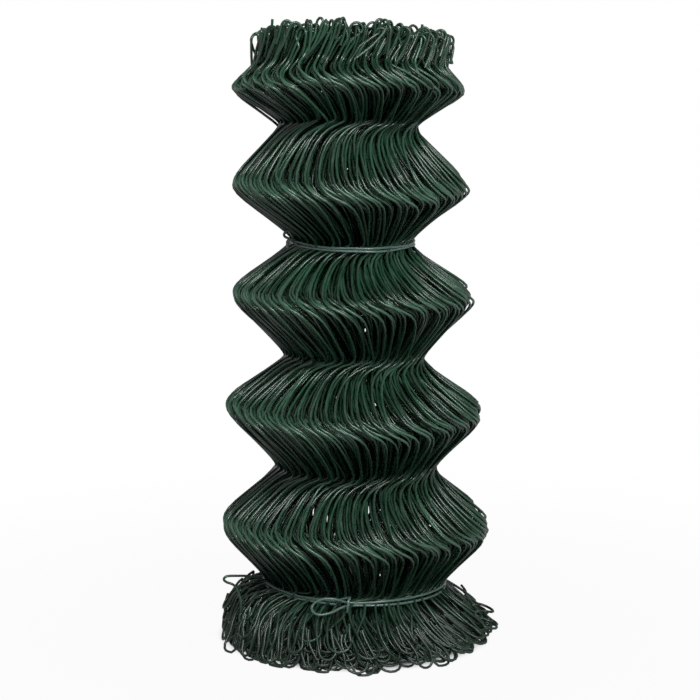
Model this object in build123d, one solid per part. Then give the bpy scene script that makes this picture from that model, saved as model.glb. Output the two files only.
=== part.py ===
"""Compact roll of plastic-coated chain-link fencing, standing on its end.

The fence is closed up sideways until its zigzag wires stand side by side, and is
then wound round a mandrel. The bends of all the wires line up, so the roll bulges
at every outer row of bends and has a waist at every inner row. The lower end spreads
on the floor and the upper end stands up as a collar of bent-over wire ends. Two
doubled wires, each hooked through its own eye, tie the roll at two of the waists.

Millimetres, +Z up, origin on the roll's axis at the floor.
"""

from build123d import *

import os
from math import atan2, cos, degrees, hypot, radians, sin

# Wire, drawn with a few flat sides
wire_diameter = 2.0
wire_sides = 8

# Roll as a whole
roll_height = 474.0
core_radius = 15.0
turn_count = 7

# Zigzag wall, listed from the floor up; a bulge is measured to the corner where its slopes meet
waist_radius = 70.0
waist_radius_shares = (1.0, 0.89, 0.78, 0.666, 0.767)
waist_height_shares = (0.085, 0.281, 0.468, 0.65, 0.842)
bulge_radius = 107.0
bulge_radius_shares = (1.0, 0.937, 0.875, 0.851, 0.837)
bulge_height_shares = (0.186, 0.379, 0.562, 0.739, 0.903)
bulge_bend_radius = 8.0

# Lower end, spread on the floor
foot_radius = 107.5
foot_inner_radius = 60.0
foot_height = 16.0
foot_bend_radius = 14.0

# Upper end, a collar of bent-over wire ends
collar_radius = 76.0
collar_inner_radius = 42.0
collar_height = 31.0
collar_bend_radius = 4.0

# Gap between the turns, seen on both ends
turn_gap = 1.6
turn_gap_depth = 11.0

# Tie wires
strand_gap = 0.2
tie_clearance = 0.3
tie_side_room = 0.5
hook_offset = 10.0
tail_bend_radius = 4.0
lift_bend_radius = 6.0

lower_tie_waist = 0
lower_eye_length = 27.0
lower_eye_width = 11.0
lower_eye_neck = 14.0
lower_knot_angle = -3.6

upper_tie_waist = 3
upper_eye_length = 17.0
upper_eye_width = 8.0
upper_eye_neck = 9.0
upper_knot_angle = -66.0

# Worked out from the sizes above
waist_heights = [share * roll_height for share in waist_height_shares]
waist_radii = [share * waist_radius for share in waist_radius_shares]
bulge_heights = [share * roll_height for share in bulge_height_shares]
bulge_radii = [share * bulge_radius for share in bulge_radius_shares]
strand_pitch = wire_diameter + strand_gap
waist_land = strand_pitch + wire_diameter + 2 * tie_side_room


def wall_outline():
    """Half section of the roll's wall: corners as (radius, height, bend), where no bend is a crease.

    A waist is a crease, and one that carries a tie has a flat land for its two strands.
    """
    corners = [
        (foot_radius, 0, 0),
        (foot_radius, foot_height, foot_bend_radius),
    ]
    levels = zip(waist_radii, waist_heights, bulge_radii, bulge_heights)
    for level, (waist_r, waist_z, bulge_r, bulge_z) in enumerate(levels):
        if level in (lower_tie_waist, upper_tie_waist):
            corners.append((waist_r, waist_z - waist_land / 2, 0))
            corners.append((waist_r, waist_z + waist_land / 2, 0))
        else:
            corners.append((waist_r, waist_z, 0))
        corners.append((bulge_r, bulge_z, bulge_bend_radius))
    corners += [
        (collar_radius, roll_height - collar_height, 0),
        (collar_radius, roll_height, collar_bend_radius),
        (collar_inner_radius, roll_height, 0),
        (core_radius, waist_heights[-1], 0),
        (core_radius, waist_heights[0], 0),
        (foot_inner_radius, 0, 0),
    ]
    return corners


def turn_spiral(inner_radius, outer_radius):
    """Spiral cutter for the gap between the turns, standing on the XY plane.

    The spiral is drawn with half circles whose centres change sides, so that each
    half turn starts where the last one ends and runs on in the same direction.
    """
    pitch = (outer_radius - inner_radius) / turn_count
    radius = inner_radius + pitch / 2
    side = 1
    halves = []
    for _ in range(2 * (turn_count - 1)):
        centre = -side * pitch / 4
        reach = side * radius
        section = Plane.XZ * Pos(reach, turn_gap_depth / 2) * Rectangle(turn_gap, turn_gap_depth)
        halves.append(revolve(section, axis=Axis((centre, 0, 0), (0, 0, 1)), revolution_arc=180))
        radius += pitch / 2
        side = -side
    return halves


def fence_roll():
    """The wound mesh: a turned zigzag wall round its core, with its turns cut into both ends."""
    corners = wall_outline()
    points = [(radius, 0, height) for radius, height, _ in corners]
    bends = [bend for _, _, bend in corners]
    outline = FilletPolyline(*points, radius=bends, close=True)
    roll = revolve(make_face(outline), axis=Axis.Z)
    lower_gap = turn_spiral(foot_inner_radius, foot_radius)
    upper_gap = turn_spiral(collar_inner_radius, collar_radius - collar_bend_radius)
    roll -= lower_gap
    roll -= [Pos(0, 0, roll_height - turn_gap_depth) * half for half in upper_gap]
    return roll


def wall_slope(waist):
    """Drop of the wall below a waist for each millimetre that it slopes out."""
    below_radius = bulge_radii[waist - 1] if waist else foot_radius
    below_height = bulge_heights[waist - 1] if waist else foot_height
    drop = waist_heights[waist] - waist_land / 2 - below_height
    return drop / (below_radius - waist_radii[waist])


def eye_lift(waist, eye_width, eye_neck):
    """Angle that lifts the lower side of an eye clear of the wall below its waist."""
    slope = wall_slope(waist)
    seat = wire_diameter / 2 + tie_clearance
    reach = (seat * hypot(1, slope) + (eye_width - waist_land) / 2) / slope - seat
    return degrees(atan2(reach, eye_neck))


def tail_length(waist):
    """Length of the bent-down end, which stops just clear of the wall below its waist."""
    slope = wall_slope(waist)
    reach = tie_clearance + 2 * tail_bend_radius
    depth = waist_land / 2 + slope * reach - tie_clearance * hypot(1, slope)
    return depth + strand_pitch / 2 - tail_bend_radius


def tie_path(waist, eye_length, eye_width, eye_neck):
    """Centreline of a doubled tie wire whose eye leaves the ring at the front, towards -X.

    One end is hooked out through the eye and bent down over it. From there the wire goes
    round the roll, out along the eye and back, and round the roll again to its other end.
    """
    ring_radius = waist_radii[waist] + tie_clearance + wire_diameter / 2
    half_pitch = strand_pitch / 2
    half_eye = eye_width / 2
    lift_angle = eye_lift(waist, eye_width, eye_neck)
    free_angle = degrees((hook_offset + tail_bend_radius) / ring_radius)
    turned = radians(free_angle)
    out = Vector(-sin(turned), -cos(turned), 0)
    along = Vector(-cos(turned), sin(turned), 0)
    up = Vector(0, 0, 1)

    # Hooked end, from its cut tip to the ring
    ring_start = out * ring_radius + up * half_pitch
    hook_mid = ring_start + (out - along) * tail_bend_radius
    hook_top = hook_mid + (out - up) * tail_bend_radius
    tail = Line(hook_top - up * tail_length(waist), hook_top)
    hook = TangentArc(hook_top, hook_mid, tangent=up)
    turn_in = TangentArc(hook_mid, ring_start, tangent=-out)

    # Two rings and the bends that lift the eye off the roll
    sweep_angle = 360 - free_angle
    lift_centre = -(ring_radius + lift_bend_radius)
    ring_up = CenterArc((0, 0, half_pitch), ring_radius, -90 - free_angle, -sweep_angle)
    lift_up = CenterArc((0, lift_centre, half_pitch), lift_bend_radius, 90, lift_angle)
    ring_down = CenterArc((0, 0, -half_pitch), ring_radius, -90, sweep_angle)
    lift_end = 90 + lift_angle
    lift_down = CenterArc((0, lift_centre, -half_pitch), lift_bend_radius, lift_end, -lift_angle)

    # Eye: out along its upper side, round its end and back along its lower side
    lift = radians(lift_angle)
    ahead = Vector(-cos(lift), -sin(lift), 0)
    neck = lift_up @ 1
    spread = half_eye - half_pitch
    middle = neck + ahead * (eye_neck / 2) + up * (spread / 2)
    shoulder = neck + ahead * eye_neck + up * spread
    bow = neck + ahead * (eye_length - half_eye) + up * spread
    upper_neck = TangentArc(neck, middle, tangent=ahead)
    upper_shoulder = TangentArc(middle, shoulder, tangent=upper_neck % 1)
    upper_side = Line(shoulder, bow)
    drop = up * eye_width
    end = TangentArc(bow, bow - drop, tangent=ahead)
    lower_side = Line(bow - drop, shoulder - drop)
    lower_middle = middle - up * (2 * middle.Z)
    lower_neck_end = neck - up * (2 * neck.Z)
    lower_shoulder = TangentArc(shoulder - drop, lower_middle, tangent=-ahead)
    lower_neck = TangentArc(lower_middle, lower_neck_end, tangent=lower_shoulder % 1)

    return Wire(
        [
            tail, hook, turn_in, ring_up, lift_up,
            upper_neck, upper_shoulder, upper_side, end,
            lower_side, lower_shoulder, lower_neck, lift_down, ring_down,
        ]
    )


def tie_wire(waist, eye_length, eye_width, eye_neck, knot_angle):
    """One tie wire, seated round a waist with its eye at the knot angle (0 is the front)."""
    path = tie_path(waist, eye_length, eye_width, eye_neck)
    section = Plane(origin=path @ 0, z_dir=path % 0) * RegularPolygon(wire_diameter / 2, wire_sides)
    tie = sweep(section, path=path)
    return Pos(0, 0, waist_heights[waist]) * Rot(0, 0, knot_angle) * tie


parts = {
    "mesh_roll": fence_roll(),
    "upper_tie_wire": tie_wire(
        upper_tie_waist, upper_eye_length, upper_eye_width, upper_eye_neck, upper_knot_angle,
    ),
    "lower_tie_wire": tie_wire(
        lower_tie_waist, lower_eye_length, lower_eye_width, lower_eye_neck, lower_knot_angle,
    ),
}

os.makedirs("parts", exist_ok=True)
for name, shape in parts.items():
    export_step(shape, f"parts/{name}.step")
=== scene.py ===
"""Looks of the fencing roll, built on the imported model.

The wall of the roll is drawn as its separate bent wires, wound in a spiral. Each wire
zigzags between the bulges and the waists of the CAD roll, starts in a bent-over end at
the collar and finishes in a hairpin at the foot. Two doubled wires tie the roll.
Everything is in metres, +Z up, with the front of the roll towards -Y.
"""

import logging
import math
from dataclasses import dataclass, field
from enum import Enum

import bpy
import numpy as np
from bpy.types import Material, Node, NodeSocket, NodeTree, Object
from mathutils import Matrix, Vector


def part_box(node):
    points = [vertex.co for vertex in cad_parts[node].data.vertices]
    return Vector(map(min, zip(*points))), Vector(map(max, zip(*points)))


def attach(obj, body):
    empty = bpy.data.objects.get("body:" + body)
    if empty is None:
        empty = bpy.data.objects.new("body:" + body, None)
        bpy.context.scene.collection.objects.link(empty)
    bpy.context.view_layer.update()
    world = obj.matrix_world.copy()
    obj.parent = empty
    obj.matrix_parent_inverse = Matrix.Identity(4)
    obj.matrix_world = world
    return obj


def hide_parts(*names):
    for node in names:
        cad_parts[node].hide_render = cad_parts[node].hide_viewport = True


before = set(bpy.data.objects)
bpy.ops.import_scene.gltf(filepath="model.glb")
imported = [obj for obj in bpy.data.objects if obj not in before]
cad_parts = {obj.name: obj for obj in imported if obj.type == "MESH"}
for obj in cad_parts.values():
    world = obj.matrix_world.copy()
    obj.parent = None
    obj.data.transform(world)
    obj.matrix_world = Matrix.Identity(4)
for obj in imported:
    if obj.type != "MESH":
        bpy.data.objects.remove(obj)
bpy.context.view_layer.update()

log = logging.getLogger("fencing_roll")

MM = 0.001
BODY = "root"
WIRE_RADIUS = 1.0 * MM

Colour = Position = tuple[float, float, float]
Pair = tuple[float, float]
Shares = tuple[float, ...]
Points = np.ndarray

UP = np.array([0.0, 0.0, 1.0])


class WireEnd(Enum):
    """How the upper end of a fence wire is finished."""

    BENT_OVER = "bent over"
    CUT = "cut"


class TieSpot(Enum):
    """The two waists that carry a tie wire, counted from the collar down."""

    UPPER = 1
    LOWER = 4


class NodeSheet:
    """A node tree that is being drawn, for shaders and for geometry."""

    def __init__(self, tree: NodeTree) -> None:
        """Takes the tree and clears what it starts with."""
        self.tree = tree
        tree.nodes.clear()

    def add(self, kind: str, inputs: dict | None = None, **settings: object) -> Node:
        """Adds one node.

        Args:
            kind: The node's type name.
            inputs: Values or sockets for its inputs, by input name or number.
            settings: Values for the node's own properties.

        Returns:
            The new node.
        """
        node = self.tree.nodes.new(kind)
        for name, value in settings.items():
            setattr(node, name, value)
        for key, value in (inputs or {}).items():
            if isinstance(value, NodeSocket):
                self.tree.links.new(value, node.inputs[key])
            else:
                node.inputs[key].default_value = value
        return node

    def math(self, operation: str, *values: object) -> NodeSocket:
        """Adds a shader Math node on the given values or sockets and returns its result."""
        node = self.add("ShaderNodeMath", dict(enumerate(values)), operation=operation)
        return node.outputs[0]

    def ramp(self, factor: NodeSocket, low: float, high: float) -> NodeSocket:
        """Adds a smooth step of the factor from low to high and returns it."""
        values = {"Value": factor, "From Min": low, "From Max": high}
        node = self.add("ShaderNodeMapRange", values, interpolation_type="SMOOTHSTEP")
        return node.outputs["Result"]

    def mix(self, factor: object, first: object, second: object) -> NodeSocket:
        """Adds a colour mix.

        Args:
            factor: How much of the second colour there is, as a number or a socket.
            first: The first colour or its socket.
            second: The second colour or its socket.

        Returns:
            The mixed colour.
        """
        node = self.add("ShaderNodeMix", data_type="RGBA")
        sockets = [s for s in node.inputs if s.enabled]
        for socket, value in zip(sockets, (factor, first, second)):
            if isinstance(value, NodeSocket):
                self.tree.links.new(value, socket)
            else:
                socket.default_value = value if isinstance(value, float) else (*value, 1.0)
        return next(s for s in node.outputs if s.enabled)

    def noise(self, place: NodeSocket, scale: float, detail: float) -> NodeSocket:
        """Adds a noise pattern and returns its value."""
        node = self.add("ShaderNodeTexNoise", {"Vector": place, "Scale": scale, "Detail": detail})
        return node.outputs["Fac"]

    def upward(self, vector: NodeSocket) -> NodeSocket:
        """Splits a vector and returns its Z part."""
        return self.add("ShaderNodeSeparateXYZ", {"Vector": vector}).outputs["Z"]

    def attribute(self, name: str) -> NodeSocket:
        """Reads one of the wire's own attributes and returns its value."""
        return self.add("ShaderNodeAttribute", attribute_name=name).outputs["Fac"]


def new_group(name: str, inputs: dict[str, str], outputs: dict[str, str]) -> NodeSheet:
    """Starts a shader node group.

    Args:
        name: The group's name.
        inputs: Kind of each named input.
        outputs: Kind of each named output.

    Returns:
        The group's empty sheet.
    """
    tree = bpy.data.node_groups.new(name, "ShaderNodeTree")
    for side, sockets in (("INPUT", inputs), ("OUTPUT", outputs)):
        for label, kind in sockets.items():
            tree.interface.new_socket(label, in_out=side, socket_type=f"NodeSocket{kind}")
    return NodeSheet(tree)


@dataclass(frozen=True)
class CoatCloud:
    """How a coating's colour varies from wire to wire and along each wire."""

    scale: float = 38.0
    detail: float = 3.0
    edge: Pair = (0.3, 0.7)
    cloud_share: float = 0.45
    wire_share: float = 0.55

    def group(self) -> NodeTree:
        """Builds the shader group.

        Returns:
            The group, which puts out the varied colour.
        """
        sheet = new_group(
            "coat_colour",
            {"Place": "Vector", "Tone": "Float", "Deep": "Color", "Pale": "Color"},
            {"Colour": "Color"},
        )
        given = sheet.add("NodeGroupInput").outputs
        cloud = sheet.ramp(sheet.noise(given["Place"], self.scale, self.detail), *self.edge)
        part = sheet.math("MULTIPLY", cloud, self.cloud_share)
        # The tone of fence wires on inner turns is lowered as painted shade.
        blend = sheet.math("MULTIPLY_ADD", given["Tone"], self.wire_share, part)
        sheet.add("NodeGroupOutput", {"Colour": sheet.mix(blend, given["Deep"], given["Pale"])})
        return sheet.tree


@dataclass(frozen=True)
class HandlingMarks:
    """Marks on wire: rubs, dust and a fine drawn grain that handling leaves, and a darkening near the
    floor.
    """

    rub_scale: float = 55.0
    rub_wire_step: float = 91.0
    rub_detail: float = 4.0
    rub_edge: Pair = (0.58, 0.72)
    dust_scale: float = 90.0
    dust_detail: float = 2.0
    dust_edge: Pair = (0.4, 0.7)
    dust_facing: Pair = (0.35, 0.95)
    near_floor_smear: float = 30 * MM
    near_floor_level: Pair = (26 * MM, 66 * MM)
    grain_scale: float = 300.0
    grain_detail: float = 1.0

    def group(self) -> NodeTree:
        """Builds the shader group.

        Returns:
            The group, which puts out masks for rubs, dust and the darkening near the floor, and the grain's
            height.
        """
        sheet = new_group(
            "handling_marks",
            {"Place": "Vector", "Along": "Float", "Tone": "Float"},
            dict.fromkeys(("Rub", "Dust", "Near Floor", "Grain"), "Float"),
        )
        given = sheet.add("NodeGroupInput").outputs
        run = sheet.math("MULTIPLY", given["Along"], self.rub_scale)
        wire = sheet.math("MULTIPLY", given["Tone"], self.rub_wire_step)
        track = sheet.add("ShaderNodeCombineXYZ", {"X": run, "Y": wire}).outputs["Vector"]
        rub = sheet.ramp(sheet.noise(track, 1.0, self.rub_detail), *self.rub_edge)
        facing = sheet.upward(sheet.add("ShaderNodeNewGeometry").outputs["Normal"])
        cloud = sheet.noise(given["Place"], self.dust_scale, self.dust_detail)
        lying = sheet.ramp(facing, *self.dust_facing)
        dust = sheet.math("MULTIPLY", lying, sheet.ramp(cloud, *self.dust_edge))
        # Darker towards the floor: the mask is full low on the wire and fades out higher up, with a noisy
        # edge.
        smear = sheet.math("MULTIPLY_ADD", cloud, self.near_floor_smear, sheet.upward(given["Place"]))
        near_floor = sheet.math("SUBTRACT", 1.0, sheet.ramp(smear, *self.near_floor_level))
        grain = sheet.noise(given["Place"], self.grain_scale, self.grain_detail)
        sheet.add("NodeGroupOutput", {"Rub": rub, "Dust": dust, "Near Floor": near_floor, "Grain": grain})
        return sheet.tree


@dataclass(frozen=True)
class WireGroups:
    """The two shader groups that all the wire finishes share."""

    colour: NodeTree = field(default_factory=CoatCloud().group)
    handling: NodeTree = field(default_factory=HandlingMarks().group)


@dataclass(frozen=True)
class WireFinish:
    """A wire surface: its colours, how far rubs, dust and a darkening near the floor change it, how far its
    outer bends are painted paler as highlight, and its gloss.
    """

    name: str
    deep: Colour
    pale: Colour
    rubbed_and_highlight: Colour
    rub_amount: float
    bend_rub_and_highlight_amount: float
    dust_amount: float
    near_floor_amount: float
    gloss_roughness: float
    rub_roughness: float
    metallic: float
    grain_height: float
    grain_strength: float = 0.06
    dust_colour: Colour = (0.30, 0.31, 0.28)
    near_floor_colour: Colour = (0.004, 0.018, 0.009)
    near_floor_roughness: float = 0.14
    specular_level: float = 0.70

    def material(self, groups: WireGroups) -> Material:
        """Builds the node material.

        Args:
            groups: The shader groups shared by the wire finishes.

        Returns:
            The new material.
        """
        material = bpy.data.materials.new(self.name)
        material.use_nodes = True
        sheet = NodeSheet(material.node_tree)
        place = sheet.add("ShaderNodeTexCoord").outputs["Object"]
        tone, along, proud = (sheet.attribute(name) for name in ("tone", "along", "proud"))
        own = {"Place": place, "Tone": tone}
        tints = {"Deep": (*self.deep, 1.0), "Pale": (*self.pale, 1.0)}
        colour = sheet.add("ShaderNodeGroup", {**own, **tints}, node_tree=groups.colour)
        marks = sheet.add("ShaderNodeGroup", {**own, "Along": along}, node_tree=groups.handling).outputs
        rub = sheet.math("MULTIPLY", marks["Rub"], self.rub_amount)
        # The outer bends take the rubbed colour too: a painted highlight on the crests, with some rub wear.
        rub = sheet.math("MAXIMUM", rub, sheet.math("MULTIPLY", proud, self.bend_rub_and_highlight_amount))
        dust = sheet.math("MULTIPLY", marks["Dust"], self.dust_amount)
        near_floor = sheet.math("MULTIPLY", marks["Near Floor"], self.near_floor_amount)
        base = sheet.mix(rub, colour.outputs["Colour"], self.rubbed_and_highlight)
        base = sheet.mix(dust, base, self.dust_colour)
        base = sheet.mix(near_floor, base, self.near_floor_colour)
        worn = sheet.math("MAXIMUM", marks["Rub"], marks["Dust"])
        gain = self.rub_roughness - self.gloss_roughness
        roughness = sheet.math("MULTIPLY_ADD", worn, gain, self.gloss_roughness)
        roughness = sheet.math("MULTIPLY_ADD", near_floor, self.near_floor_roughness, roughness)
        grain = {"Strength": self.grain_strength, "Distance": self.grain_height}
        bump = sheet.add("ShaderNodeBump", {**grain, "Height": marks["Grain"]})
        surface = sheet.add(
            "ShaderNodeBsdfPrincipled",
            {"Base Color": base, "Roughness": roughness, "Normal": bump.outputs["Normal"]},
        )
        surface.inputs["Metallic"].default_value = self.metallic
        surface.inputs["Specular IOR Level"].default_value = self.specular_level
        sheet.add("ShaderNodeOutputMaterial", {"Surface": surface.outputs["BSDF"]})
        return material


FENCE_COAT = WireFinish(
    "green_fence_coat", deep=(0.005, 0.022, 0.011), pale=(0.023, 0.084, 0.045),
    rubbed_and_highlight=(0.065, 0.155, 0.10), rub_amount=0.3, bend_rub_and_highlight_amount=0.7, dust_amount=0.08, near_floor_amount=0.85,
    gloss_roughness=0.27, rub_roughness=0.38, metallic=0.0, grain_height=0.05 * MM,
)
TIE_COAT = WireFinish(
    "green_tie_coat", deep=(0.085, 0.150, 0.128), pale=(0.120, 0.200, 0.170),
    rubbed_and_highlight=(0.18, 0.25, 0.22), rub_amount=0.4, bend_rub_and_highlight_amount=0.1, dust_amount=0.06, near_floor_amount=0.0,
    gloss_roughness=0.22, rub_roughness=0.30, metallic=0.0, grain_height=0.05 * MM,
)
CUT_STEEL = WireFinish(
    "cut_steel_core", deep=(0.30, 0.31, 0.32), pale=(0.46, 0.46, 0.45),
    rubbed_and_highlight=(0.22, 0.16, 0.11), rub_amount=0.3, bend_rub_and_highlight_amount=0.0, dust_amount=0.10, near_floor_amount=0.4,
    gloss_roughness=0.32, rub_roughness=0.55, metallic=0.9, grain_height=0.03 * MM,
)


@dataclass
class Strand:
    """One wire's centreline, with its coating's tone: random from wire to wire, and lowered on inner turns
    as painted shade.
    """

    points: Points
    tone: float
    bend_depth: float = 2.6 * MM
    bend_relief: float = 10.4 * MM
    bend_points: int = 6

    def proud(self) -> Points:
        """Finds the wire's outer bends, which the finish paints paler: a painted highlight on the crests,
        with some rub wear.

        Returns:
            How far each point stands out at an outer bend, from 0 to 1.
        """
        reach = np.linalg.norm(self.points[:, :2], axis=1)
        padded = np.pad(reach, self.bend_points, mode="edge")
        near = np.lib.stride_tricks.sliding_window_view(padded, 2 * self.bend_points + 1)
        is_bend = np.ptp(near, axis=1) > self.bend_relief
        return np.clip(1 - (near.max(axis=1) - reach) / self.bend_depth, 0, 1) * is_bend


@dataclass
class WireSweep:
    """Turns centrelines into round wire with one Geometry Nodes tree."""

    tree: NodeTree = field(init=False)
    sockets: dict[str, str] = field(init=False)

    def __post_init__(self) -> None:
        """Builds the tree: strands to curves, a round section along them, smooth and dressed."""
        self.tree = bpy.data.node_groups.new("wire_sweep", "GeometryNodeTree")
        face = self.tree.interface
        face.new_socket("Strands", in_out="INPUT", socket_type="NodeSocketGeometry")
        kinds = {"Wire Radius": "NodeSocketFloat", "Sides": "NodeSocketInt", "Finish": "NodeSocketMaterial"}
        self.sockets = {}
        for label, kind in kinds.items():
            self.sockets[label] = face.new_socket(label, in_out="INPUT", socket_type=kind).identifier
        face.new_socket("Wire", in_out="OUTPUT", socket_type="NodeSocketGeometry")
        sheet = NodeSheet(self.tree)
        given = sheet.add("NodeGroupInput").outputs
        curve = sheet.add("GeometryNodeMeshToCurve", {"Mesh": given["Strands"]})
        length = sheet.add("GeometryNodeSplineParameter").outputs["Length"]
        marked = sheet.add(
            "GeometryNodeStoreNamedAttribute",
            {"Geometry": curve.outputs["Curve"], "Name": "along", "Value": length},
        )
        section = sheet.add(
            "GeometryNodeCurvePrimitiveCircle",
            {"Resolution": given["Sides"], "Radius": given["Wire Radius"]},
        )
        lines = {"Curve": marked.outputs["Geometry"], "Profile Curve": section.outputs["Curve"]}
        swept = sheet.add("GeometryNodeCurveToMesh", {**lines, "Fill Caps": True})
        smooth = sheet.add("GeometryNodeSetShadeSmooth", {"Geometry": swept.outputs["Mesh"]})
        real = sheet.add("GeometryNodeRealizeInstances", {"Geometry": smooth.outputs["Geometry"]})
        dressed = sheet.add(
            "GeometryNodeSetMaterial", {"Geometry": real.outputs["Geometry"], "Material": given["Finish"]},
        )
        sheet.add("NodeGroupOutput", {"Wire": dressed.outputs["Geometry"]})

    def make(
        self, name: str, strands: list[Strand], radius: float, sides: int, finish: Material,
    ) -> Object:
        """Makes one piece out of strands.

        Args:
            name: The piece's name.
            strands: The centrelines that it is made of.
            radius: The wire's radius.
            sides: Flat sides of the round section.
            finish: The wire's material.

        Returns:
            The piece, as a plain mesh object at the origin.
        """
        mesh = bpy.data.meshes.new(name)
        edges: list[tuple[int, int]] = []
        start = 0
        for strand in strands:
            count = len(strand.points)
            edges += [(start + i, start + i + 1) for i in range(count - 1)]
            start += count
        mesh.from_pydata(np.vstack([s.points for s in strands]).tolist(), edges, [])
        # The tone carries painted shade on the inner turns.
        tones = np.concatenate([np.full(len(s.points), s.tone) for s in strands])
        # Proud marks the outer bends, which the finish paints paler as a painted highlight with some rub
        # wear.
        bends = np.concatenate([s.proud() for s in strands])
        for label, values in (("tone", tones), ("proud", bends)):
            layer = mesh.attributes.new(label, "FLOAT", "POINT")
            layer.data.foreach_set("value", values.astype(np.float32))
        piece = bpy.data.objects.new(name, mesh)
        bpy.context.collection.objects.link(piece)
        sweep = piece.modifiers.new("wire_sweep", "NODES")
        sweep.node_group = self.tree
        for label, value in (("Wire Radius", radius), ("Sides", sides), ("Finish", finish)):
            sweep[self.sockets[label]] = value
        graph = bpy.context.evaluated_depsgraph_get()
        solid = bpy.data.meshes.new_from_object(
            piece.evaluated_get(graph), preserve_all_data_layers=True, depsgraph=graph,
        )
        piece.modifiers.remove(sweep)
        piece.data = solid
        bpy.data.meshes.remove(mesh)
        solid.name = name
        return piece


def facing(angle: float) -> tuple[Points, Points]:
    """Directions out from the axis and to the right, at an angle round the roll from the front."""
    sine, cosine = math.sin(angle), math.cos(angle)
    return np.array([sine, -cosine, 0]), np.array([cosine, sine, 0])


def bend_wave(phase: Points, tightness: Points | float) -> Points:
    """Zigzag from 1 to -1 with rounded bends; the tightness, under 1, sharpens them."""
    return np.arcsin(tightness * np.cos(phase)) / np.arcsin(tightness)


def bend_spacing(count: int, crowding: float = 0.11) -> Points:
    """Places from 0 to 1, the end left out, that crowd together near both ends."""
    step = np.arange(count) / count
    return step - crowding * np.sin(2 * math.pi * step)


def smooth_line(corners: Points, count: int) -> Points:
    """Draws a smooth line through corner points.

    Args:
        corners: The points, at least three of them.
        count: Points for each stretch between two corners.

    Returns:
        The line's points, the first and the last corner among them.
    """
    ends = np.vstack([2 * corners[0] - corners[1], corners, 2 * corners[-1] - corners[-2]])
    step = (np.arange(count) / count)[:, None]
    runs = []
    for a, b, c, d in zip(ends, ends[1:], ends[2:], ends[3:]):
        slope, curve, twist = c - a, 2 * a - 5 * b + 4 * c - d, 3 * b - a - 3 * c + d
        runs.append(b + (slope * step + curve * step**2 + twist * step**3) / 2)
    return np.vstack([*runs, corners[-1:]])


@dataclass
class RollShape:
    """Levels of the roll from the collar down, as shares of its height and of its foot radius."""

    height: float
    foot_radius: float
    bulge_radius_shares: Shares = (0.800, 0.812, 0.838, 0.902, 0.946)
    bulge_height_shares: Shares = (0.891, 0.738, 0.562, 0.376, 0.187)
    waist_radius_shares: Shares = (0.494, 0.420, 0.496, 0.575, 0.640)
    waist_height_shares: Shares = (0.834, 0.648, 0.463, 0.279, 0.090)
    collar_radius_share: float = 0.680
    sway_height_shares: Shares = (
        0.0, 0.085, 0.186, 0.281, 0.379, 0.468, 0.562, 0.650, 0.739, 0.842, 0.903, 1.0,
    )
    sway_shares: Shares = (
        0.020, 0.004, 0.028, 0.020, 0.016, 0.010, 0.0, -0.008, -0.020, -0.034, -0.020, 0.010,
    )
    tip_height_shares: Shares = (0.0, 0.50, 0.562, 0.648, 0.738, 0.834, 0.891, 1.0)
    tip_shares: Shares = (0.0, 0.0, 0.02, -0.01, 0.005, 0.075, 0.150, 0.28)
    rim_share: float = 0.982
    lean_angle: float = math.radians(1.1)
    grip_share: float = 0.12
    floor_room: float = 1 * MM

    def levels(self) -> tuple[Points, Points]:
        """Returns the radii and the heights of the bends, bulge and waist in turn, from the top."""
        radii = np.ravel(np.column_stack([self.bulge_radius_shares, self.waist_radius_shares]))
        heights = np.ravel(np.column_stack([self.bulge_height_shares, self.waist_height_shares]))
        return radii * self.foot_radius, heights * self.height

    def waist(self, spot: TieSpot) -> Pair:
        """Returns the radius and the height of the waist that carries a tie."""
        radius = self.waist_radius_shares[spot.value] * self.foot_radius
        return radius, self.waist_height_shares[spot.value] * self.height

    def settle(self, points: Points) -> Points:
        """Settles points as the roll stands: it sways, dips to the right and tips up at the front.

        Args:
            points: Points of the upright roll.

        Returns:
            The points where the roll really has them.
        """
        share = points[:, 2] / self.height
        placed = points.copy()
        placed[:, 0] += np.interp(share, self.sway_height_shares, self.sway_shares) * self.foot_radius
        grip = np.clip(share / self.grip_share, 0, 1)
        placed[:, 2] -= points[:, 0] * math.tan(self.lean_angle) * grip * grip * (3 - 2 * grip)
        tip = np.interp(share, self.tip_height_shares, self.tip_shares)
        placed[:, 2] += tip * np.maximum(0, -points[:, 1])
        placed[:, 2] = np.maximum(placed[:, 2], np.minimum(points[:, 2], self.floor_room))
        return placed


@dataclass
class WirePlace:
    """Where one fence wire stands in the spiral."""

    angle: float
    inset: float
    turn: int
    number: int


@dataclass(frozen=True)
class WireScatter:
    """How far the fence wires stray from an even zigzag."""

    bulge_radius: float = 0.9 * MM
    waist_radius: float = 0.7 * MM
    bulge_height: float = 1.4 * MM
    waist_height: float = 0.8 * MM
    wave_height: float = 0.9 * MM
    wave_count: int = 2
    wave_step: float = 1.7
    aside: float = 1.5 * MM
    bow: float = 1.1 * MM
    swing_share: float = 0.10
    loose_wires: int = 3
    loose_factor: float = 1.8


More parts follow.
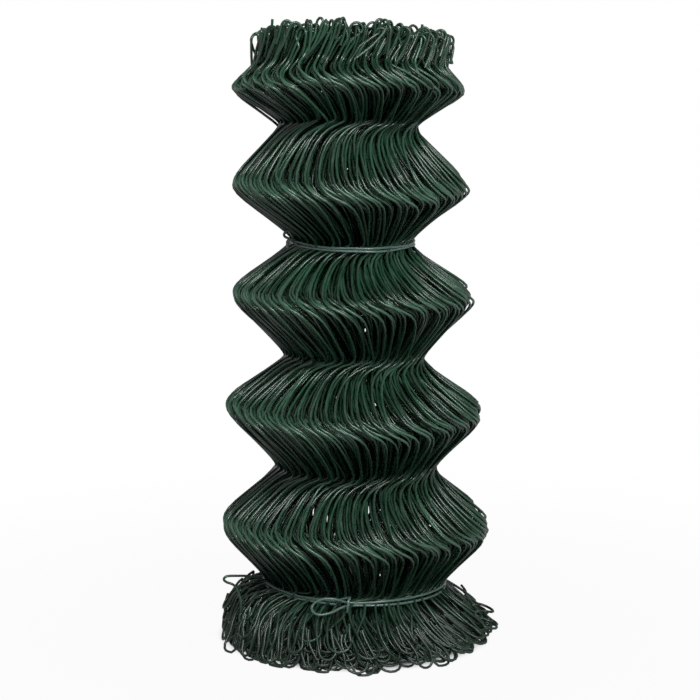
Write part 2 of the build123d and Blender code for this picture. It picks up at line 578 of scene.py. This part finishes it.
@dataclass(frozen=True)
class CollarEnds:
    """Sizes of the upper wire ends; a pair is a range to draw from, or a mean and its spread."""

    hook_range: Pair = (3.2 * MM, 5.4 * MM)
    cut_share: float = 0.06
    stub_range: Pair = (3 * MM, 8 * MM)
    stub_point_shares: Shares = (1.0, 0.5)
    drop_spread: float = 3.6 * MM
    wave_drop: float = 1.2 * MM
    wave_counts: tuple[int, int] = (5, 3)
    wave_turn: float = 1.2
    inset_drop_share: float = 0.15
    top_range: Pair = (-4.5 * MM, -0.5 * MM)
    neck_share: float = 0.5
    lean_share: float = 0.4
    swing_spread_shares: Pair = (0.9, 0.12)
    end_swing_spread_shares: Pair = (0.10, 0.46)
    turn_range: Pair = (math.radians(-20), math.radians(70))
    right_share: float = 0.7
    tail_range: Pair = (8 * MM, 22 * MM)
    drift_spread_shares: Pair = (0.46, 0.22)
    tuck_range_shares: Pair = (-0.22, 0.0)
    fall_shares: Shares = (1.0, 0.6, 0.22)
    run_points: int = 14
    arch_points: int = 8


@dataclass(frozen=True)
class FootPins:
    """Sizes of the lower wire ends and their hairpins; a range is a pair to draw from."""

    pin_range: Pair = (5.2 * MM, 9.0 * MM)
    reach_share: float = 0.962
    inset_share: float = 0.55
    front_reach: float = 11 * MM
    edge_spread: float = 3.0 * MM
    clear_from: float = 0.4
    clear_height: float = 18 * MM
    low_share: float = 0.85
    low_spread: float = 1.0 * MM
    under_share: float = 1.35
    brow_share: float = 0.53
    brow_right_share: float = 0.27
    brow_range_shares: Pair = (-0.11, 0.09)
    brow_inset_range: Pair = (2 * MM, 11 * MM)
    brow_room: float = 3 * MM
    sill_drop: float = 4 * MM
    sill_inset_share: float = 0.3
    shoulder: float = 10 * MM
    lean: float = 4 * MM
    lean_right: float = 11 * MM
    lean_spread: float = 5 * MM
    bow: float = 2.4 * MM
    bow_right: float = 1.6 * MM
    short_share: float = 0.30
    short_right_share: float = 0.20
    short_run_shares: Pair = (0.6, 0.93)
    short_rise_range: Pair = (1.5 * MM, 4.5 * MM)
    rise_range: Pair = (0.0, 1.5 * MM)
    right_share: float = 0.6
    swing_share: float = 0.5
    swing_end_share: float = 0.9
    slope_share: float = 0.7
    tail_shares: Pair = (0.28, 0.55)
    tail_lift: Pair = (0.3 * MM, 2.6 * MM)
    tail_spread_shares: Pair = (-0.9, 0.6)
    run_points: int = 14
    arch_points: int = 8
    tail_points: int = 8


@dataclass
class FenceRoll:
    """The wound mesh: bent wires side by side along a spiral, one piece for each turn."""

    shape: RollShape
    wire_radius: float
    scatter: WireScatter = WireScatter()
    ends: CollarEnds = CollarEnds()
    pins: FootPins = FootPins()
    seed: int = 7
    turns: int = 7
    loose_turns: int = 2
    wire_spacing: float = 7.9 * MM
    inner_spacing: float = 3.6 * MM
    spacing_shares: Pair = (0.72, 1.28)
    turn_pitch: float = 5.0 * MM
    nest_share: float = 0.4
    nest_turns: int = 3
    side_squeeze: float = 0.22
    end_tuck: float = 2.6 * MM
    tuck_wires: int = 7
    outer_end_angle: float = math.radians(97)
    spacing_radius: float = 77 * MM
    swing: float = 12.8 * MM
    swing_place_shares: Shares = (
        0.0, 0.02, 0.045, 0.075, 0.11, 0.16, 0.23, 0.31, 0.39, 0.44, 0.48,
        0.51, 0.55, 0.61, 0.72, 0.83, 0.91, 0.96, 0.985, 1.0,
    )
    swing_shares: Shares = (
        0.50, 0.18, -0.12, -0.38, -0.58, -0.77, -0.92, -1.0, -0.97, -0.77, -0.36,
        0.06, 0.50, 0.78, 0.94, 1.0, 1.0, 0.92, 0.72, 0.50,
    )
    collar_place_shares: Shares = (0.0, 0.05, 0.11, 0.19, 0.28, 0.41, 0.60, 0.80, 1.0)
    collar_swing_shares: Shares = (-0.05, -0.34, -0.64, -0.88, -0.95, -0.84, -0.56, -0.24)
    pair_share: float = 0.2
    bulge_tightness: float = 0.86
    waist_tightness: float = 0.93
    leg_points: tuple[int, ...] = (11, 11, 8, 8, 7, 6, 6)
    sides: tuple[int, ...] = (8, 8, 5, 5, 4, 4, 4)
    swing_points: int = 6
    # Painted shade: from about the third turn inwards the wires' tone is lowered, so the inner turns render
    # darker.
    painted_inner_shade: float = 0.8
    painted_shade_start_turns: float = 1.6
    painted_shade_fade_turns: float = 1.5
    tip_sunk: float = 1.2 * MM
    tip_bare: float = 0.12 * MM
    core_share: float = 0.68
    core_sides: int = 6
    stray_angle: float = math.radians(-64)
    stray_number: int = -1
    stray_radius_shares: Shares = (
        0.6791, 0.7907, 0.9116, 0.9814, 1.0009, 0.9814, 0.9395, 0.9070, 0.8930, 0.8884, 0.8930,
    )
    stray_aside_shares: Shares = (
        0.0, -0.0093, -0.0186, -0.0233, -0.0242, -0.0205, -0.0093, 0.0, 0.0140, 0.0279, 0.0372,
    )
    stray_height_shares: Shares = (
        0.1013, 0.1108, 0.1139, 0.1143, 0.1097, 0.1051, 0.1013, 0.0949, 0.0844, 0.0738, 0.0612,
    )
    stray_points: int = 4
    rng: np.random.Generator = field(init=False)
    swing_line: Points = field(init=False)

    def __post_init__(self) -> None:
        """Starts the fixed random draws and draws the sideways swing from waist to waist."""
        self.rng = np.random.default_rng(self.seed)
        swing = np.column_stack([self.swing_place_shares, self.swing_shares])
        self.swing_line = smooth_line(swing, self.swing_points).T

    def places(self) -> list[WirePlace]:
        """Steps along the spiral from its outer end inwards.

        Returns:
            The place of every wire.
        """
        found: list[WirePlace] = []
        swept = 0.0
        while swept < self.turns * 2 * math.pi:
            angle = self.outer_end_angle - swept
            inset = self.turn_pitch * swept / (2 * math.pi) * (1 - self.side_squeeze * math.sin(angle) ** 2)
            inset += self.end_tuck * max(0.0, 1 - len(found) / self.tuck_wires)
            turn = int(swept / (2 * math.pi))
            found.append(WirePlace(angle, inset, turn, len(found)))
            usual = self.wire_spacing if turn < self.loose_turns else self.inner_spacing
            gap = usual * float(self.rng.uniform(*self.spacing_shares))
            swept += gap / (self.spacing_radius - inset)
        return found

    def cast(self, place: WirePlace, radius: Points, sideways: Points, height: Points) -> Points:
        """Turns a wire's own run into points of the upright roll.

        Args:
            place: The wire's place.
            radius: Distance from the axis of each point.
            sideways: Distance that each point lies to the right of the wire's place.
            height: Height of each point.

        Returns:
            The points, round a spiral that is centred on the axis.
        """
        angle = place.angle + sideways / radius
        shift = self.turn_pitch / 4
        return np.column_stack([radius * np.sin(angle) - shift, shift - radius * np.cos(angle), height])

    def zigzag(self, place: WirePlace) -> dict[str, Points]:
        """Runs a wire from the uppermost bulge to the lowest waist.

        Args:
            place: The wire's place.

        Returns:
            Its radii, sideways places and heights, and the bends' own values.
        """
        scatter = self.scatter
        radii, heights = self.shape.levels()
        count = len(radii)
        bulge = np.arange(count) % 2 == 0
        loose = scatter.loose_factor if place.number < scatter.loose_wires else 1.0
        phase = scatter.wave_count * place.angle + np.arange(count) * scatter.wave_step
        ripple = scatter.wave_height * np.sin(phase)
        depth = min(1.0, place.inset / (self.nest_turns * self.turn_pitch))
        nested = place.inset * (self.nest_share + (1 - self.nest_share) * depth)
        radii = radii - np.where(bulge, nested, place.inset) + self.turn_pitch / 4
        out_spread = np.where(bulge, scatter.bulge_radius * loose, scatter.waist_radius)
        up_spread = np.where(bulge, scatter.bulge_height, scatter.waist_height)
        radii = radii + self.rng.normal(0, out_spread)
        heights = heights + self.rng.normal(0, up_spread) + ripple
        pair = (1 if place.number % 2 else -1) * self.pair_share * self.wire_spacing / self.spacing_radius
        aside = self.rng.normal(0, scatter.aside, count) + pair * radii * np.where(bulge, 1, -1)
        swing = self.swing * math.sqrt(1 - place.inset / self.spacing_radius)
        step = bend_spacing(self.leg_points[place.turn])
        runs: dict[str, list[Points]] = {"radius": [], "aside": [], "height": []}
        for level in range(count - 1):
            own, after = (self.bulge_tightness, self.waist_tightness)[:: 1 if bulge[level] else -1]
            wave = bend_wave(math.pi * step, np.where(step < 0.5, own, after))
            reach = swing * self.rng.normal(1, scatter.swing_share)
            bow = self.rng.normal(0, scatter.bow) * np.sin(math.pi * step)
            middle, half = (radii[level] + radii[level + 1]) / 2, (radii[level] - radii[level + 1]) / 2
            runs["radius"].append(middle + half * wave)
            runs["height"].append(heights[level] + (heights[level + 1] - heights[level]) * step)
            path = np.interp((step + bulge[level]) / 2, *self.swing_line)
            drift = aside[level] + (aside[level + 1] - aside[level]) * step
            runs["aside"].append(reach * path + drift + bow)
        joined = {name: np.concatenate(parts) for name, parts in runs.items()}
        joined["bend_radii"], joined["bend_heights"], joined["bend_aside"] = radii, heights, aside
        return joined

    def collar(self, place: WirePlace, run: dict[str, Points]) -> Points:
        """Runs a wire from its upper end down to the uppermost bulge.

        Args:
            place: The wire's place.
            run: The wire's zigzag.

        Returns:
            The points, from the cut tip down.
        """
        ends = self.ends
        hook = self.rng.uniform(*ends.hook_range)
        style = WireEnd.CUT if self.rng.random() < ends.cut_share else WireEnd.BENT_OVER
        swell, dip = (count * place.angle for count in ends.wave_counts)
        wave = 1 + math.sin(swell + ends.wave_turn) * math.cos(dip)
        drop = abs(self.rng.normal(0, ends.drop_spread)) + ends.wave_drop * wave
        drop += ends.inset_drop_share * place.inset
        rim = self.shape.height * self.shape.rim_share - hook - self.wire_radius - drop
        neck = self.shape.collar_radius_share * self.shape.foot_radius - place.inset + self.turn_pitch / 4
        top = neck + self.rng.uniform(*ends.top_range)
        step = np.linspace(1, 0, ends.run_points, endpoint=False)
        bend = bend_wave(math.pi * np.minimum(step / ends.neck_share, 1), self.bulge_tightness)
        near = (1 + bend) / 2
        lean = np.clip((step - ends.lean_share) / (1 - ends.lean_share), 0, 1)
        radius = neck + (run["bend_radii"][0] - neck) * near + (top - neck) * lean * lean
        height = run["bend_heights"][0] + (rim - run["bend_heights"][0]) * step
        swing = self.swing * self.rng.normal(*ends.swing_spread_shares)
        swing *= math.sqrt(1 - place.inset / self.spacing_radius)
        end_share = self.rng.normal(*ends.end_swing_spread_shares)
        path = np.interp(step, self.collar_place_shares, (*self.collar_swing_shares, end_share))
        aside = swing * path + run["bend_aside"][0]
        points = self.cast(place, radius, aside, height)
        tip = points[0]
        outward, right = facing(place.angle)
        if style is WireEnd.CUT:
            stub = np.array(ends.stub_point_shares)[:, None] * self.rng.uniform(*ends.stub_range)
            return np.vstack([tip + UP * stub, points])
        turned = self.rng.uniform(*ends.turn_range)
        side = 1 if self.rng.random() < ends.right_share else -1
        over = right * math.cos(turned) * side + outward * math.sin(turned)
        arch = np.linspace(math.pi, 0, ends.arch_points, endpoint=False)[:, None]
        arc = tip + over * hook * (1 - np.cos(arch)) + UP * hook * np.sin(arch)
        tail = self.rng.uniform(*ends.tail_range)
        drift = -right * self.rng.normal(*ends.drift_spread_shares)
        drift = drift + outward * self.rng.uniform(*ends.tuck_range_shares)
        fall = np.array(ends.fall_shares)[:, None]
        end = arc[0] + (drift * (1 + fall) / 2 - UP) * fall * tail
        return np.vstack([end, arc, points])

    def foot(self, place: WirePlace, run: dict[str, Points]) -> Points:
        """Runs a wire from the lowest waist out over the floor, round its hairpin and back up.

        Args:
            place: The wire's place.
            run: The wire's zigzag.

        Returns:
            The points, down to the cut tip.
        """
        pins = self.pins
        waist_radius, waist_height = run["bend_radii"][-1], run["bend_heights"][-1]
        rightward, forward = math.sin(place.angle), max(0.0, math.cos(place.angle))
        pin = self.rng.uniform(*pins.pin_range)
        reach = self.shape.foot_radius * pins.reach_share - pins.inset_share * place.inset
        edge = reach + pins.front_reach * forward**2 - abs(self.rng.normal(0, pins.edge_spread))
        clear = max(0.0, rightward - pins.clear_from) * self.rng.uniform(0, pins.clear_height)
        low = pins.low_share * pin + self.wire_radius + abs(self.rng.normal(0, pins.low_spread)) + clear
        under = 1 - place.inset / (pins.under_share * self.turns * self.turn_pitch)
        rise_share = pins.brow_share - pins.brow_right_share * rightward
        brow = waist_height * under * (rise_share + self.rng.uniform(*pins.brow_range_shares))
        sill = waist_height - pins.sill_drop - pins.sill_inset_share * place.inset
        brow_radius = edge - self.rng.uniform(*pins.brow_inset_range)
        guide_radius = np.array([waist_radius, waist_radius + pins.shoulder, brow_radius, edge])
        guide_height = np.array([waist_height, sill, max(brow, low + pins.brow_room), low])
        lean = self.rng.normal(forward * (pins.lean + pins.lean_right * rightward), pins.lean_spread)
        bow = self.rng.normal(0, pins.bow - pins.bow_right * rightward)
        short = self.rng.random() < pins.short_share - pins.short_right_share * rightward
        last = self.rng.uniform(*pins.short_run_shares) if short else 1.0
        raised = self.rng.uniform(*(pins.short_rise_range if short else pins.rise_range))
        side = 1 if self.rng.random() < pins.right_share else -1

        def skirt(step: Points) -> tuple[Points, Points, Points]:
            """Runs the spread part of the wire.

            Args:
                step: Steps from the waist, 0, to the floor, 1.

            Returns:
                The radii, sideways places and heights at the steps.
            """
            ease = 1 - step
            weights = np.stack([ease**3, 3 * ease**2 * step, 3 * ease * step**2, step**3])
            swing = pins.swing_share * self.swing * np.sin(math.pi * np.minimum(step, pins.swing_end_share))
            sway = run["bend_aside"][-1] + lean * step - swing + bow * np.sin(2 * math.pi * step)
            rise = raised * np.minimum(2 * step, 1) * pins.slope_share
            return guide_radius @ weights + rise, sway, guide_height @ weights + rise

        out = self.cast(place, *skirt(np.linspace(0, last, pins.run_points)))
        right = facing(place.angle + (run["bend_aside"][-1] + lean) / edge)[1] * side
        ahead = out[-1] - out[-2]
        ahead /= np.linalg.norm(ahead)
        right -= ahead * (right @ ahead)
        right /= np.linalg.norm(right)
        arch = np.linspace(0, math.pi, pins.arch_points)[1:, None]
        arc = out[-1] + right * pin * (1 - np.cos(arch)) + ahead * pin * np.sin(arch)
        back = last - self.rng.uniform(*pins.tail_shares) * last
        step = np.linspace(last, back, pins.tail_points)[1:]
        radius, aside, height = skirt(step)
        lift = np.linspace(*pins.tail_lift, len(step))
        spread = 2 * pin * side * (1 + self.rng.uniform(*pins.tail_spread_shares) * (last - step))
        tail = self.cast(place, radius + lift, aside + spread, height + lift * pins.slope_share)
        points = np.vstack([out, arc, tail])
        points[:, 2] = np.maximum(points[:, 2], self.wire_radius)
        return points

    def stray_foot(self, place: WirePlace) -> Points:
        """Runs the one wire whose lower end sticks out above the foot and hangs over it.

        Args:
            place: The wire's place.

        Returns:
            The points, down to the cut tip.
        """
        shares = (self.stray_radius_shares, self.stray_aside_shares, self.stray_height_shares)
        radius, aside, height = smooth_line(np.column_stack(shares), self.stray_points).T
        reach = self.shape.foot_radius
        return self.cast(place, radius * reach, aside * reach, height * self.shape.height)

    def strand(self, place: WirePlace) -> Strand:
        """Runs one whole wire from its upper to its lower tip.

        Args:
            place: The wire's place.

        Returns:
            The wire, whose tone is lowered as painted shade the deeper it lies in the roll.
        """
        run = self.zigzag(place)
        middle = self.cast(place, run["radius"], run["aside"], run["height"])
        foot = self.stray_foot(place) if place.number == self.stray_number else self.foot(place, run)
        points = np.vstack([self.collar(place, run), middle, foot])
        # Painted shade: the deeper the wire lies, the lower its tone.
        depth = (place.inset / self.turn_pitch - self.painted_shade_start_turns) / self.painted_shade_fade_turns
        painted_shade = self.painted_inner_shade * float(np.clip(depth, 0, 1))
        return Strand(self.shape.settle(points), float(self.rng.random()) - painted_shade)

    def tips(self, strands: list[Strand]) -> list[Strand]:
        """Steel cores that show at the cut tips: a short straight length out of each end.

        Args:
            strands: The fence wires.

        Returns:
            One short strand for each cut tip.
        """
        found: list[Strand] = []
        for strand in strands:
            for end, before in ((0, 1), (-1, -2)):
                ahead = strand.points[end] - strand.points[before]
                ahead /= np.linalg.norm(ahead)
                core = strand.points[end] + np.outer([-self.tip_sunk, self.tip_bare], ahead)
                found.append(Strand(core, strand.tone))
        return found

    def build(self, sweep: WireSweep, coat: Material, steel: Material) -> list[Object]:
        """Makes the turns and the cut tips, and hides the plain CAD roll.

        Args:
            sweep: The tree that makes round wire.
            coat: The fence wire's finish.
            steel: The finish of the cut steel.

        Returns:
            The pieces.
        """
        places = self.places()
        self.stray_number = min(places, key=lambda place: abs(place.angle - self.stray_angle)).number
        strands = [self.strand(place) for place in places]
        pieces = []
        for turn in range(self.turns):
            own = [s for s, place in zip(strands, places) if place.turn == turn]
            name, sides = f"fence_turn_{turn + 1}", self.sides[turn]
            pieces.append(sweep.make(name, own, self.wire_radius, sides, coat))
            log.info("turn %d has %d wires", turn + 1, len(own))
        core_radius = self.core_share * self.wire_radius
        pieces.append(sweep.make("fence_cut_tips", self.tips(strands), core_radius, self.core_sides, steel))
        for piece in pieces:
            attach(piece, BODY)
        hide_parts("mesh_roll")
        return pieces


@dataclass
class TieWire:
    """A doubled wire round one waist, hooked through its own eye."""

    shape: RollShape
    spot: TieSpot
    node: str
    wire_radius: float
    knot_angle: float
    eye_length: float
    eye_width: float
    eye_lift: float
    eye_rush: float
    eye_slope: float
    eye_fall: float
    eye_climb: float
    knot_half: float
    strand_spread: float
    seed: int
    tone: float = 0.6
    sides: int = 8
    pitch_share: float = 1.1
    seat_share: float = 1.3
    free_share: float = 2.4
    ring_points: int = 72
    ripple: float = 0.35 * MM
    ripple_places: int = 40
    ripple_turn: float = 7.0
    spread_power: float = 1.5
    climb_rush: float = 1.6
    bend_points: int = 5
    start_angle: float = 0.12
    eye_angle: float = 0.06
    stop_angle: float = 0.05
    eye_along_shares: Shares = (0.12, 0.36, 0.62, 0.86, 1.0, 0.95, 0.76, 0.46, 0.12)
    eye_rise_shares: Shares = (0.30, 0.84, 1.0, 0.66, -0.06, -0.68, -1.0, -0.74, -0.30)
    # A row of the hook is its way along, its part of the eye's lift, its way out and its rise
    hook_shares: tuple[Shares, ...] = (
        (0.6, 0.62, 2.4, -1.0), (0.2, 0.62, 3.0, 0.0), (0.0, 0.62, 2.2, 0.8), (0.0, 0.0, 0.8, 0.95),
    )

    def ring(self, radius: float, height: float, start: float, stop: float, side: int) -> Points:
        """Runs one strand round the waist.

        Args:
            radius: Radius of the ring.
            height: Height of the waist.
            start: Angle to start at, from the knot.
            stop: Angle to stop at.
            side: 1 for the upper strand, -1 for the lower.

        Returns:
            The strand's points.
        """
        rng = np.random.default_rng(self.seed + side)
        angle = np.linspace(start, stop, self.ring_points)
        right_front = np.clip(np.sin(np.abs(angle)), 0, 1) * (np.sin(angle) > 0)
        half_pitch = self.wire_radius * self.pitch_share
        rise = side * (half_pitch + self.strand_spread * right_front**self.spread_power)
        places = np.linspace(-self.ripple_turn, self.ripple_turn, self.ripple_places)
        ripple = np.interp(angle, places, rng.normal(0, self.ripple, self.ripple_places))
        turned = self.knot_angle + angle
        return np.column_stack([radius * np.sin(turned), -radius * np.cos(turned), height + rise + ripple])

    def route(self) -> Points:
        """Runs the whole tie, from its hooked end, twice round the roll and through its eye.

        Returns:
            The points, settled as the roll is.
        """
        waist, height = self.shape.waist(self.spot)
        radius = waist + self.seat_share * self.wire_radius
        outward, right = facing(self.knot_angle)
        seat = outward * radius + UP * height

        def spot(along: float, out: float, rise: float) -> Points:
            """A point near the knot: to the left along the eye, out from the roll and up."""
            return seat - right * along + outward * out + UP * rise

        half, gauge, lift = self.eye_width / 2, self.wire_radius, self.eye_lift
        eye = []
        for along, rise in zip(self.eye_along_shares, self.eye_rise_shares):
            below = max(0.0, -rise) * half
            raised = lift * min(1.0, self.eye_rush * along) + self.eye_slope * below
            climb = self.eye_climb * min(1.0, self.climb_rush * along) + (1 - self.eye_fall) * below
            eye.append(spot(along * self.eye_length, raised, rise * half + climb))
        hook = [
            spot(along * gauge, lifted * lift + out * gauge, rise * self.knot_half)
            for along, lifted, out, rise in self.hook_shares
        ]
        turn, free = 2 * math.pi, self.free_share * gauge / radius
        start = self.ring(radius, height, -free - self.start_angle, self.eye_angle - turn, 1)
        finish = self.ring(radius, height, self.eye_angle, turn - free - self.stop_angle, -1)
        hooked = smooth_line(np.vstack([hook, start[:1]]), self.bend_points)
        looped = smooth_line(np.vstack([start[-1:], eye, finish[:1]]), self.bend_points)
        whole = np.vstack([hooked[:-1], start[:-1], looped[:-1], finish])
        return self.shape.settle(whole)

    def build(self, sweep: WireSweep, coat: Material) -> Object:
        """Makes the tie and hides the plain CAD one.

        Args:
            sweep: The tree that makes round wire.
            coat: The tie wire's finish.

        Returns:
            The piece.
        """
        strands = [Strand(self.route(), self.tone)]
        piece = sweep.make(f"{self.spot.name.lower()}_tie", strands, self.wire_radius, self.sides, coat)
        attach(piece, BODY)
        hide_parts(self.node)
        return piece


@dataclass(frozen=True)
class Softbox:
    """A soft rectangular lamp that faces the roll."""

    name: str
    place: Position
    width: float
    depth: float
    power: float

    def hang(self, target: Position) -> None:
        """Makes the lamp and turns it to the target.

        Args:
            target: The point that the lamp faces.
        """
        light = bpy.data.lights.new(self.name, "AREA")
        light.shape = "RECTANGLE"
        light.size, light.size_y = self.width, self.depth
        light.energy = self.power
        lamp = bpy.data.objects.new(self.name, light)
        lamp.location = self.place
        lamp.rotation_euler = (Vector(target) - Vector(self.place)).to_track_quat("-Z", "Y").to_euler()
        bpy.context.collection.objects.link(lamp)


@dataclass
class Studio:
    """Floor, world, lamps and camera."""

    camera_place: Position = (-0.003, -2.0, 0.58)
    camera_pitch: float = math.radians(79.885)
    lens: float = 136.9
    sensor_width: float = 36.0
    fill: float = 0.11
    ceiling: float = 0.08
    ceiling_rise: float = 0.45
    mirrored_white: float = 0.40
    floor_radius: float = 4.0
    floor_sides: int = 64
    floor_grey: float = 0.22
    floor_glow: float = 0.955
    glow_reach: Pair = (0.12, 0.7)
    covered_floor: Pair = (0.086, 0.108)
    softboxes: tuple[Softbox, ...] = (
        Softbox("front_strip", (0.10, -1.15, 1.35), 1.40, 0.30, 16.0),
        Softbox("middle_spot", (0.22, -1.12, 1.62), 0.30, 0.30, 6.0),
        Softbox("right_spot", (0.90, -1.26, 1.12), 0.40, 0.40, 6.5),
        Softbox("low_spot", (0.80, -1.50, 0.66), 0.30, 0.30, 2.2),
        Softbox("far_right_spot", (1.53, 0.26, 0.92), 0.50, 0.50, 1.0),
        Softbox("left_back", (-1.0, 0.50, 1.20), 0.80, 0.80, 1.7),
        Softbox("right_back", (1.0, 0.50, 1.20), 0.80, 0.80, 1.2),
    )
    target: Position = (0.0, 0.0, 0.22)

    @staticmethod
    def rays(sheet: NodeSheet) -> tuple[NodeSocket, NodeSocket]:
        """Adds masks of the camera's own rays and of mirrored ones.

        Args:
            sheet: The material or the world that needs them.

        Returns:
            The two masks.
        """
        ray = sheet.add("ShaderNodeLightPath").outputs
        mirrored = sheet.math("MAXIMUM", ray["Is Glossy Ray"], ray["Is Transmission Ray"])
        return ray["Is Camera Ray"], mirrored

    def floor(self) -> None:
        """Makes the pale floor, which glows white to the camera and keeps a faint shadow."""
        mesh = bpy.data.meshes.new("floor")
        turn = np.linspace(0, 2 * math.pi, self.floor_sides, endpoint=False)
        rim = [(self.floor_radius * math.cos(a), self.floor_radius * math.sin(a), 0) for a in turn]
        mesh.from_pydata(rim, [], [tuple(range(len(rim)))])
        floor = bpy.data.objects.new("floor", mesh)
        bpy.context.collection.objects.link(floor)
        material = bpy.data.materials.new("pale_floor")
        material.use_nodes = True
        sheet = NodeSheet(material.node_tree)
        matt = sheet.add("ShaderNodeBsdfDiffuse", {"Color": (*[self.floor_grey] * 3, 1.0)})
        glow = sheet.add("ShaderNodeEmission", {"Strength": 1.0})
        place = sheet.add("ShaderNodeTexCoord").outputs["Object"]
        away = sheet.add("ShaderNodeVectorMath", {0: place}, operation="LENGTH").outputs["Value"]
        fade = sheet.ramp(away, *self.glow_reach)
        share = sheet.math("MULTIPLY_ADD", fade, 1 - self.floor_glow, self.floor_glow)
        direct, mirrored = self.rays(sheet)
        open_floor = sheet.math("MULTIPLY", direct, sheet.ramp(away, *self.covered_floor))
        mirrored = sheet.math("MULTIPLY", mirrored, self.mirrored_white)
        part = sheet.math("MULTIPLY", sheet.math("MAXIMUM", open_floor, mirrored), share)
        mixed = sheet.add(
            "ShaderNodeMixShader", {0: part, 1: matt.outputs["BSDF"], 2: glow.outputs["Emission"]},
        )
        sheet.add("ShaderNodeOutputMaterial", {"Surface": mixed.outputs["Shader"]})
        mesh.materials.append(material)

    def world(self) -> None:
        """Sets a world that shows white and lights the object softly."""
        world = bpy.data.worlds.new("studio")
        world.use_nodes = True
        bpy.context.scene.world = world
        sheet = NodeSheet(world.node_tree)
        soft = sheet.add("ShaderNodeBackground", {"Color": (1, 1, 1, 1), "Strength": self.fill})
        toward = sheet.add("ShaderNodeTexCoord").outputs["Generated"]
        rise = sheet.ramp(sheet.upward(toward), 0.0, self.ceiling_rise)
        wall = sheet.math("MULTIPLY_ADD", rise, self.ceiling - self.mirrored_white, self.mirrored_white)
        direct, mirrored = self.rays(sheet)
        shown = sheet.math("MAXIMUM", direct, wall)
        white = sheet.add("ShaderNodeBackground", {"Color": (1, 1, 1, 1), "Strength": shown})
        seen = sheet.math("MAXIMUM", direct, mirrored)
        mixed = sheet.add(
            "ShaderNodeMixShader", {0: seen, 1: soft.outputs["Background"], 2: white.outputs["Background"]},
        )
        sheet.add("ShaderNodeOutputWorld", {"Surface": mixed.outputs["Shader"]})

    def camera(self) -> None:
        """Sets the camera at the photograph's viewing angle."""
        eye = bpy.data.cameras.new("camera")
        eye.lens = self.lens
        eye.sensor_width = self.sensor_width
        camera = bpy.data.objects.new("camera", eye)
        camera.location = self.camera_place
        camera.rotation_euler = (self.camera_pitch, 0, 0)
        bpy.context.collection.objects.link(camera)
        bpy.context.scene.camera = camera

    def build(self) -> None:
        """Sets up the whole studio."""
        self.camera()
        self.floor()
        self.world()
        for box in self.softboxes:
            box.hang(self.target)
        bpy.context.scene.view_settings.view_transform = "Standard"


def main() -> None:
    """Builds the studio, the fence and its ties, and reports each piece."""
    logging.basicConfig(level=logging.INFO, format="%(message)s")
    Studio().build()
    groups = WireGroups()
    fence_coat, tie_coat = FENCE_COAT.material(groups), TIE_COAT.material(groups)
    steel = CUT_STEEL.material(groups)
    sweep = WireSweep()
    low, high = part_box("mesh_roll")
    shape = RollShape(height=high.z - low.z, foot_radius=(high.x - low.x) / 2)
    pieces = FenceRoll(shape, WIRE_RADIUS).build(sweep, fence_coat, steel)
    ties = (
        TieWire(
            shape, TieSpot.UPPER, "upper_tie_wire", WIRE_RADIUS, knot_angle=math.radians(-66),
            eye_length=6.5 * MM, eye_width=5.4 * MM, eye_lift=7 * MM, eye_rush=1.0, eye_slope=0.0,
            eye_fall=1.0, eye_climb=6.5 * MM, knot_half=3.2 * MM, strand_spread=0.2 * MM, seed=3,
        ),
        TieWire(
            shape, TieSpot.LOWER, "lower_tie_wire", WIRE_RADIUS, knot_angle=math.radians(-3.6),
            eye_length=27 * MM, eye_width=12 * MM, eye_lift=8 * MM, eye_rush=2.2, eye_slope=1.7,
            eye_fall=0.6, eye_climb=-0.8 * MM, knot_half=5.0 * MM, strand_spread=1.7 * MM, seed=5,
        ),
    )
    pieces += [tie.build(sweep, tie_coat) for tie in ties]
    for piece in pieces:
        piece.data.calc_loop_triangles()
        log.info("%s: %d triangles", piece.name, len(piece.data.loop_triangles))


if __name__ == "__main__":
    main()
